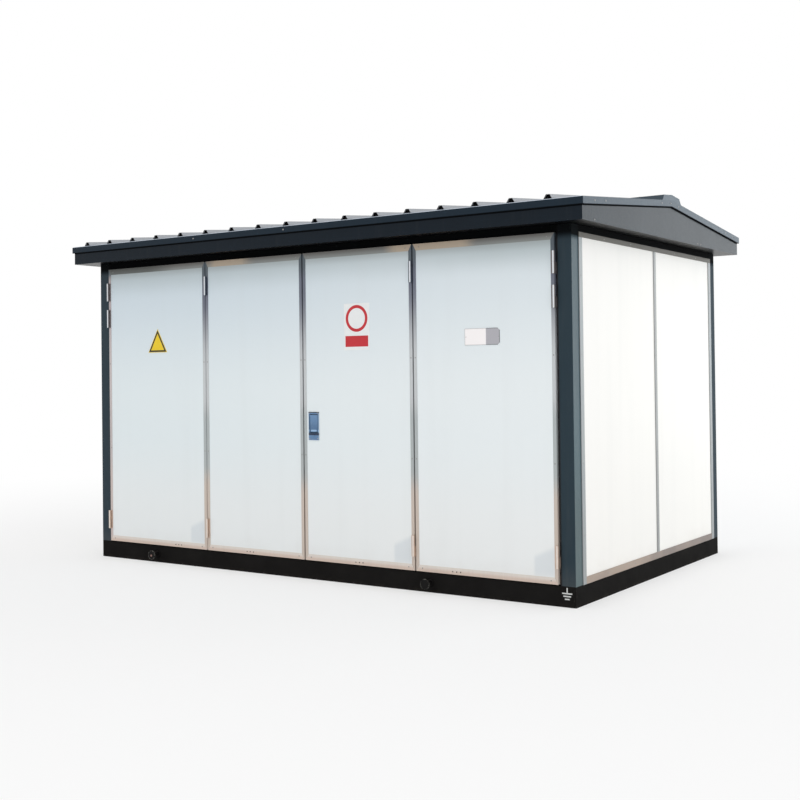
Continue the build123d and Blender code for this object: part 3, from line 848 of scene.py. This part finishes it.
# Sign plates
# Thin enamelled plates on leaves 1 and 3, kept plain: a bordered yellow triangle, and a white plate with
# a red ring over a red band. Each is glued on.

sign = Finish("yellow_triangle_enamel")
sign_low, sign_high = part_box("triangle_plate")
sign_middle = (sign_low.x + sign_high.x) / 2
sign_half = (sign_high.x - sign_low.x) / 2
sign_tall = sign_high.z - sign_low.z
side_lean = sign_tall / math.hypot(sign_tall, sign_half)
up_sign = (sign.z - sign_low.z) / sign_tall
to_slant = ((1 - up_sign) * sign_half - abs(sign.x - sign_middle)) * side_lean
to_edge = to_slant.least(sign.z - sign_low.z)
border_start = 0.0030
border_end = 0.0160
border = sign.step(to_edge, border_start, border_start + 0.0008)
border = border * sign.step(to_edge, border_end, border_end - 0.0008)
faded = sign.noise(22, 4)
sign_colour = sign.mix(faded, (246, 214, 20), (234, 196, 12))
sign_colour = sign.mix(border, sign_colour, (24, 24, 22))
yellow_plate = sign.surface(sign_colour, 0.4 + faded * 0.1, border, 0.0001)
dress(yellow_plate, "triangle_plate")

notice = Finish("white_notice_enamel")
notice_low, notice_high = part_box("prohibition_plate")
notice_middle = (notice_low.x + notice_high.x) / 2
notice_margin = 0.010
ring_level = notice_high.z - 0.097
ring_inner = 0.066
ring_outer = 0.086
red_band_foot = notice_low.z + 0.022
red_band_head = notice_low.z + 0.092
soft_edge = 0.0008
from_ring_middle = (notice.x - notice_middle).across(notice.z - ring_level)
ring = notice.patch(from_ring_middle, ring_inner, ring_outer, soft_edge)
band = notice.patch(notice.z, red_band_foot, red_band_head, soft_edge)
band = band * notice.patch(notice.x, notice_low.x + notice_margin, notice_high.x - notice_margin, soft_edge)
weathered = notice.noise(18, 4)
white_field = notice.mix(weathered, (244, 246, 246), (232, 235, 236))
red_field = notice.mix(weathered, (206, 36, 46), (190, 30, 42))
notice_colour = notice.mix(ring.most(band), white_field, red_field)
white_plate = notice.surface(notice_colour, 0.38 + weathered * 0.1, ring + band, 0.0001)
dress(white_plate, "prohibition_plate")


# Nameplate
# A bare plate of polished steel on the fourth leaf, with two corners clipped. It is held by a rivet near
# each end.

name_low, name_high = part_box("nameplate")
polish = Finish("polished_nameplate")
# A painted reflection: near white on the plate's left and grey on its right, where the dark rim line is
# deeper
shade_edge = name_low.x + 0.60 * (name_high.x - name_low.x)
grain_lines = polish.noise(500, 2, (0.03, 1, 1))
shade = polish.step(polish.x, shade_edge, shade_edge + 0.006)
to_rim = (polish.x - name_low.x).least(name_high.x - polish.x).least(
    (polish.z - name_low.z).least(name_high.z - polish.z))
rim_line = polish.step(to_rim, 0.0035, 0.0022)
name_colour = polish.mix(shade * 0.85, (250, 246, 246), (160, 160, 168))
name_colour = polish.mix(rim_line * (shade * 0.4 + 0.5), name_colour, (92, 98, 100))
plate_steel = polish.surface(name_colour, 0.26 + grain_lines * 0.1, grain_lines, 0.0002, Metallic=0.6)
dress(plate_steel, "nameplate")
name_rivet_inset = 0.009
name_middle_z = (name_low.z + name_high.z) / 2
name_rivets = [(x, name_low.y, name_middle_z)
               for x in (name_low.x + name_rivet_inset, name_high.x - name_rivet_inset)]
name_rivets = studs(name_rivets, (0, -1, 0), np.array(rivet_profile) * 0.6)
add_piece("nameplate_rivets", [name_rivets], rivet_steel, "door_4")


# Roof sheets
# Ribbed sandwich sheets laid from eave to ridge, screwed down beside every rib. Black foam closes the
# rib ends at the eave.

sheet_low, sheet_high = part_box("roof_sheet_front")
eave_y = sheet_low.y
sheet_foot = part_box("eave_bands")[1].z
verge_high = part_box("verge_bands")[1]
roof_slope = (verge_high.z - sheet_foot) / -eave_y


def roof_paint():
    """Weathered anthracite with rain streaks down the slope. The ribs are painted paler as painted light,
    and the sheets' ends are near black above the troughs as painted shade at the rib mouths.
    """
    paint = Finish("anthracite_roof")
    streaks = paint.noise(14, 4, (1, 0.05, 1))
    cloud = paint.noise(1.1, 4)
    rise = paint.z - (sheet_foot + (-eave_y - abs(paint.y)) * roof_slope)
    rib = paint.step(rise, 0.004, 0.012)
    colour = paint.mix(cloud, (78, 86, 96), (66, 74, 84))
    colour = paint.mix(streaks * 0.25, colour, (112, 114, 118))
    # Painted light on the ribs
    colour = paint.mix(rib * 0.85, colour, (178, 182, 188))
    colour = paint.mix(paint.step(rise, 0.027, 0.030) * 0.6, colour, (92, 98, 106))
    # Painted shade on the sheets' ends at the rib mouths
    at_end = paint.step(abs(paint.y), -eave_y - 0.0007, -eave_y - 0.0002)
    colour = paint.mix(at_end * paint.step(rise, 0.0002, 0.0006), colour, (9, 10, 12))
    return paint.surface(colour, 0.36 + streaks * 0.15, streaks + paint.noise(200, 2) * 0.2, 0.0006)


roof_coat = roof_paint()
dress(roof_coat, "roof_sheet_front", "roof_sheet_rear")

rib_pitch = 0.2385
rib_offset = -0.037
rib_places = rib_offset + rib_pitch * np.arange(-8, 9)
# The foam plugs: where they start and end behind the eave, and their trapezoid's half widths and levels
plug_near = 0.008
plug_far = 0.040
plug_foot_half = 0.0262
plug_head_half = 0.0096
plug_lift = 0.0004
plug_height = 0.0285
black_foam = clouded(
    "black_closure_foam", (7, 8, 9), (16, 17, 18), (520, 3), 0.9, 0.001, Specular_IOR_Level=0.02)


def rib_plug(x):
    """A trapezoid of foam carried up the slope inside a rib's mouth."""
    path = [(x, eave_y + depth, sheet_foot + roof_slope * depth) for depth in (plug_near, plug_far)]
    section = (
        (-plug_foot_half, plug_lift), (plug_foot_half, plug_lift),
        (plug_head_half, plug_height), (-plug_head_half, plug_height))
    return carried(path, (1, 0, 0), (0, 0, 1), section)


front_plugs = [rib_plug(x) for x in rib_places]
add_piece("rib_plugs", front_plugs + mirrored(front_plugs), black_foam, "root")

# The roof screws stand in the troughs, this far beside each rib's middle
trough_step = 0.062
screw_rows = np.array((0.075, 0.420, 0.780, 1.120))
washer_profile = ((0, 0.0030), (0.0060, 0.0028), (0.0068, 0.0012), (0.0070, 0), (0, -0.0008))
head_profile = ((0, 0.0082), (0.0036, 0.0082), (0.0046, 0.0074), (0.0046, 0.0026), (0, 0.0026))
screw_spots = np.array([
    (x + trough_step, eave_y + depth, sheet_foot + roof_slope * depth)
    for x in rib_places for depth in screw_rows])


def slope_studs(spots, profile, sides):
    """Fixings square to both slopes: at the front's spots, and at the same spots mirrored."""
    return [studs(spots * (1, side, 1), (0, -side * roof_slope, 1), profile, sides) for side in (1, -1)]


roof_screws = slope_studs(screw_spots, washer_profile, 16) + slope_studs(screw_spots, head_profile, 6)
add_piece("roof_screws", roof_screws, rivet_steel, "root")


# Eaves and gables
# Folded anthracite sheet: fascias and soffits close the overhang, and a band covers the sheets' edges
# all round. The bands are screwed on.

band_low, band_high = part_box("eave_bands")


def edge_coat(name, light, dark, seam=None):
    """The coat of the bands and fascias, with painted light where they reach the gables, and a line of
    painted shadow where the bands meet the fascias. The seam gives the distances above the bands' feet
    between which the painted shadow lies."""
    coat, colour, roughness, grain = powder_coat(name, light, dark, 0.015)
    # Painted light on the gable ends
    on_gable = coat.step(abs(coat.x), verge_high.x - 0.002, verge_high.x - 0.0005)
    colour = coat.mix(on_gable * 0.6, colour, (76, 91, 104))
    if seam:
        over_foot = coat.z - band_low.z - (-eave_y - abs(coat.y)).most(0.0) * roof_slope
        # Painted shadow under the bands
        band_shadow = coat.patch(over_foot, seam[0], seam[1], 0.001)
        colour = coat.mix(band_shadow * 0.9, colour, (3, 5, 8))
        roughness = (roughness + band_shadow * 0.6).least(1.0)
    return coat.surface(colour, roughness, grain, 0.0006, Specular_IOR_Level=0.12)


band_coat = edge_coat("anthracite_bands", (30, 44, 56), (24, 37, 48), (-0.001, 0.003))
# The fascias are a darker copy of the bands' coat, as painted shade under the bands. The soffits are near
# black, as painted shade under the overhang.
fascia_coat = edge_coat("anthracite_fascias", (20, 31, 41), (14, 23, 31), (-0.007, 0.001))
soffit_shade_coat = edge_coat("anthracite_soffits", (16, 18, 20), (11, 12, 14))
dress(band_coat, "eave_bands", "verge_bands")
dress(fascia_coat, "gable_fascias", "eave_fascias")
dress(soffit_shade_coat, "eave_soffits", "gable_soffits")

# The sheets' bare hem, rolled over the bands' top edges. Its pale blue is partly a painted highlight of the
# sky along the edge.
hem_finish = clouded(
    "rolled_hem_aluminium", (214, 222, 234), (176, 188, 204), (11, 4, (0.4, 1, 1)), 0.4, 0.0003,
    rougher=0.1, Metallic=0.2)
hem_width = 0.0130
hem_height = 0.0072
hem_y = band_low.y + 0.0063
hem_path = [(x, hem_y, band_high.z) for x in np.linspace(sheet_low.x + 0.001, sheet_high.x - 0.001, 40)]
hem = [carried(hem_path, (0, 1, 0), (0, 0, 1), oval(hem_width, hem_height, 12))]
add_piece("eave_hems", hem + mirrored(hem), hem_finish, "root")

band_screw = (
    (0, 0.0030), (0.0030, 0.0028), (0.0050, 0.0016), (0.0058, 0.0003), (0.0058, -0.0005), (0, -0.0005))
band_middle_z = (band_low.z + band_high.z) / 2
eave_spots = np.array([(x, band_low.y, band_middle_z) for x in (-0.855, -0.05)])
verge_y = np.array((-1.180, -1.030, -0.170, -0.020, 0.114, 1.030, 1.180))
verge_z = band_middle_z + roof_slope * (-eave_y - np.abs(verge_y))
verge_spots = np.stack((np.full_like(verge_y, verge_high.x), verge_y, verge_z), 1)
gable_low, gable_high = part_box("gable_fascias")
gable_row = gable_low.z + 0.012
gable_spots = np.array([(gable_high.x, y, gable_row) for y in (-1.161, 0.491, 0.550)])
band_studs = []
for side in (1, -1):
    band_studs.append(studs(eave_spots * (1, side, 1), (0, -side, 0), band_screw))
    band_studs.append(studs(verge_spots * (side, 1, 1), (side, 0, 0), band_screw))
    band_studs.append(studs(gable_spots * (side, 1, 1), (side, 0, 0), band_screw))
add_piece("band_screws", band_studs, rivet_steel, "root")


# Ridge cap
# A cap folded from sheet in the same anthracite, laid over the sheets' upper edges. It is screwed down
# along both sides.

dress(edge_coat("anthracite_ridge_cap", (70, 82, 92), (58, 70, 80)), "ridge_cap")
cap_low, cap_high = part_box("ridge_cap")
cap_margin = 0.18
cap_y = 0.100
cap_z = cap_high.z - roof_slope * cap_y
cap_rows = np.linspace(cap_low.x + cap_margin, cap_high.x - cap_margin, 9)
cap_spots = np.array([(x, -cap_y, cap_z) for x in cap_rows])
add_piece("cap_screws", slope_studs(cap_spots, band_screw, 16), rivet_steel, "root")


# Floor, light and camera
# A pale floor that fades to white, an even white sky, a soft warm sun from the right, a softbox behind
# the right end, and the camera where the photograph was taken from.

ground_half = 60.0
ground = bpy.data.meshes.new("studio_floor")
ground_corners = [(-1, -1), (1, -1), (1, 1), (-1, 1)]
ground.from_pydata([(x * ground_half, y * ground_half, 0) for x, y in ground_corners], [], [(0, 1, 2, 3)])
studio_floor = bpy.data.objects.new("studio_floor", ground)
bpy.context.scene.collection.objects.link(studio_floor)


def background_mask(finish):
    """1 for what the camera, a reflection or a pane sees, and 0 for what lights the housing."""
    kinds = finish.node("ShaderNodeLightPath", {}, {}).socket.node.outputs
    camera_ray, glossy_ray, through_ray = [
        Value(finish, kinds[name]) for name in ("Is Camera Ray", "Is Glossy Ray", "Is Transmission Ray")]
    return camera_ray.most(glossy_ray).most(through_ray)


pale = Finish("pale_floor")
fade = pale.step(pale.x.across(pale.y), 2.5, 9.0) * 0.5 + 0.5
matt = pale.node("ShaderNodeBsdfDiffuse", {}, {"Color": screen(240, 240, 240)})
white = pale.node("ShaderNodeEmission", {}, {"Color": (1, 1, 1, 1), "Strength": 1.0})
faded_floor = pale.node("ShaderNodeMixShader", {}, {0: fade * background_mask(pale), 1: matt, 2: white})
pale.node("ShaderNodeOutputMaterial", {}, {"Surface": faded_floor})
ground.materials.append(pale.material)

sky_light = 0.93
sky = Finish("studio_sky", bpy.data.worlds.new("studio_sky"))
sky_strength = background_mask(sky) * (1 - sky_light) + sky_light
sky_white = sky.node("ShaderNodeBackground", {}, {"Color": (1, 1, 1, 1), "Strength": sky_strength})
sky.node("ShaderNodeOutputWorld", {}, {"Surface": sky_white})
bpy.context.scene.world = sky.material


housing_middle = Matrix.Translation((0, 0, 1.2))


def hang(name, lamp, towards, distance):
    """Hangs a lamp this far from the housing's middle, shining back at it. Its axes are made upright."""
    outward = np.array(towards) / np.linalg.norm(towards)
    sideways = np.cross((0, 0, 1), outward)
    sideways = sideways / np.linalg.norm(sideways)
    turned = np.column_stack((sideways, np.cross(outward, sideways), outward))
    place = housing_middle @ Matrix.Translation(outward * distance)
    hung = bpy.data.objects.new(name, lamp)
    hung.matrix_world = place @ Matrix(turned.tolist()).to_4x4()
    hung.visible_camera = False
    bpy.context.scene.collection.objects.link(hung)


sun = bpy.data.lights.new("soft_key", "SUN")
sun.energy = 0.25
sun.angle = math.radians(35)
sun.color = (1.0, 0.98, 0.95)
hang("soft_key", sun, (0.80, -0.24, 0.55), 12.0)
softbox_width = 8.0
softbox_height = 6.0
softbox_radiance = 2.1
softbox = bpy.data.lights.new("back_softbox", "AREA")
softbox.shape = "RECTANGLE"
softbox.size = softbox_width
softbox.size_y = softbox_height
softbox.color = (0.93, 1.0, 1.04)
softbox.energy = softbox_radiance * softbox_width * softbox_height * math.pi
hang("back_softbox", softbox, (0.65, 0.75, 0.12), 11.5)

camera_spot = (4.9116, -7.3244, 1.3525)
camera_yaw = math.radians(-34.06)
camera_pitch = math.radians(0.676)
camera_roll = math.radians(-0.689)
ahead = np.array((
    math.sin(camera_yaw) * math.cos(camera_pitch), math.cos(camera_yaw) * math.cos(camera_pitch),
    math.sin(camera_pitch)))
level = np.array((math.cos(camera_yaw), -math.sin(camera_yaw), 0.0))
above = np.cross(level, ahead)
rightward = math.cos(camera_roll) * level + math.sin(camera_roll) * above
upward = -math.sin(camera_roll) * level + math.cos(camera_roll) * above
lens = bpy.data.cameras.new("photograph_view")
lens.lens = 53.35
lens.sensor_width = 36.0
lens.shift_y = -0.052
camera = bpy.data.objects.new("photograph_view", lens)
camera_axes = np.column_stack((rightward, upward, -ahead))
camera.matrix_world = Matrix.Translation(camera_spot) @ Matrix(camera_axes.tolist()).to_4x4()
bpy.context.scene.collection.objects.link(camera)
bpy.context.scene.camera = camera
bpy.context.scene.view_settings.view_transform = "Standard"

bpy.context.view_layer.update()
